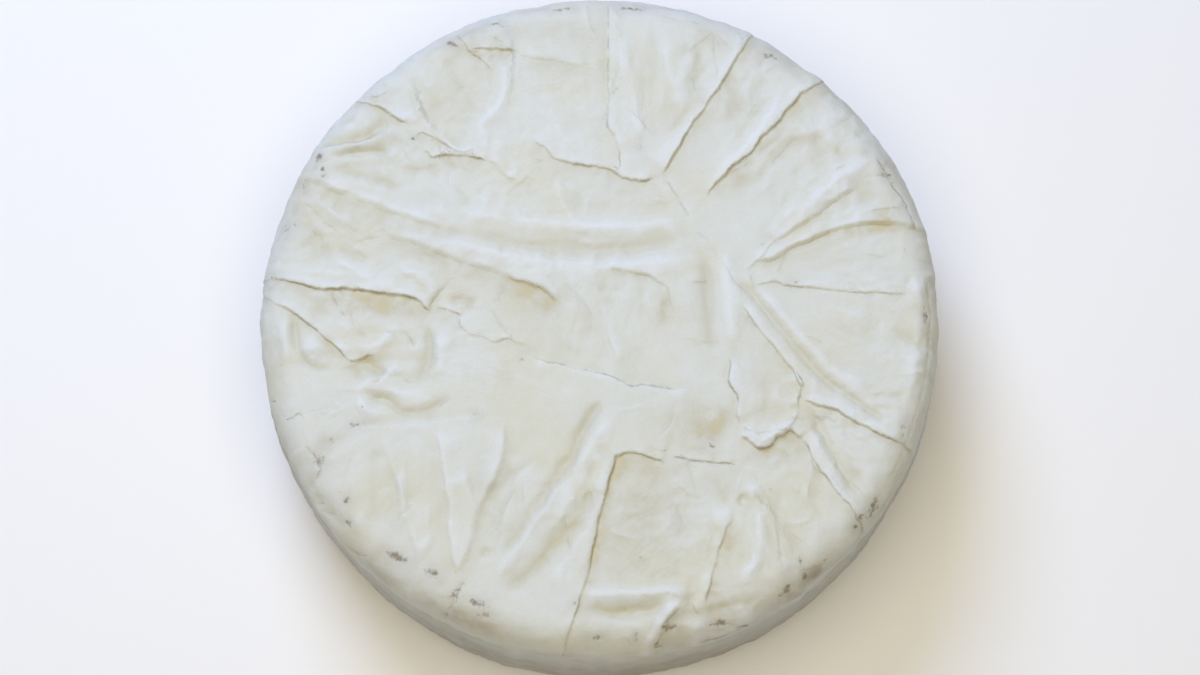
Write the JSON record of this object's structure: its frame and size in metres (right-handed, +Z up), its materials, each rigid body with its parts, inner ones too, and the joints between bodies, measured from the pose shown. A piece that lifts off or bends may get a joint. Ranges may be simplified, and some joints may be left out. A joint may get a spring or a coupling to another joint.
{
  "type": "cheese wheel",
  "caption": "Round flat-topped wheel of off-white cheese with rounded edges, a flat underside and the marks of folded cloth pressed into its rind.",
  "frame": {"origin": "centre of the flat underside", "axes": "+Z straight up out of the top, +Y away from the front, +X to the right seen from the front"},
  "size_m": [0.2998, 0.3008, 0.0936],
  "materials": {
    "rind": "matte"
  },
  "bodies": {
    "root": {"cheese_wheel": "rind"}
  },
  "joints": []
}
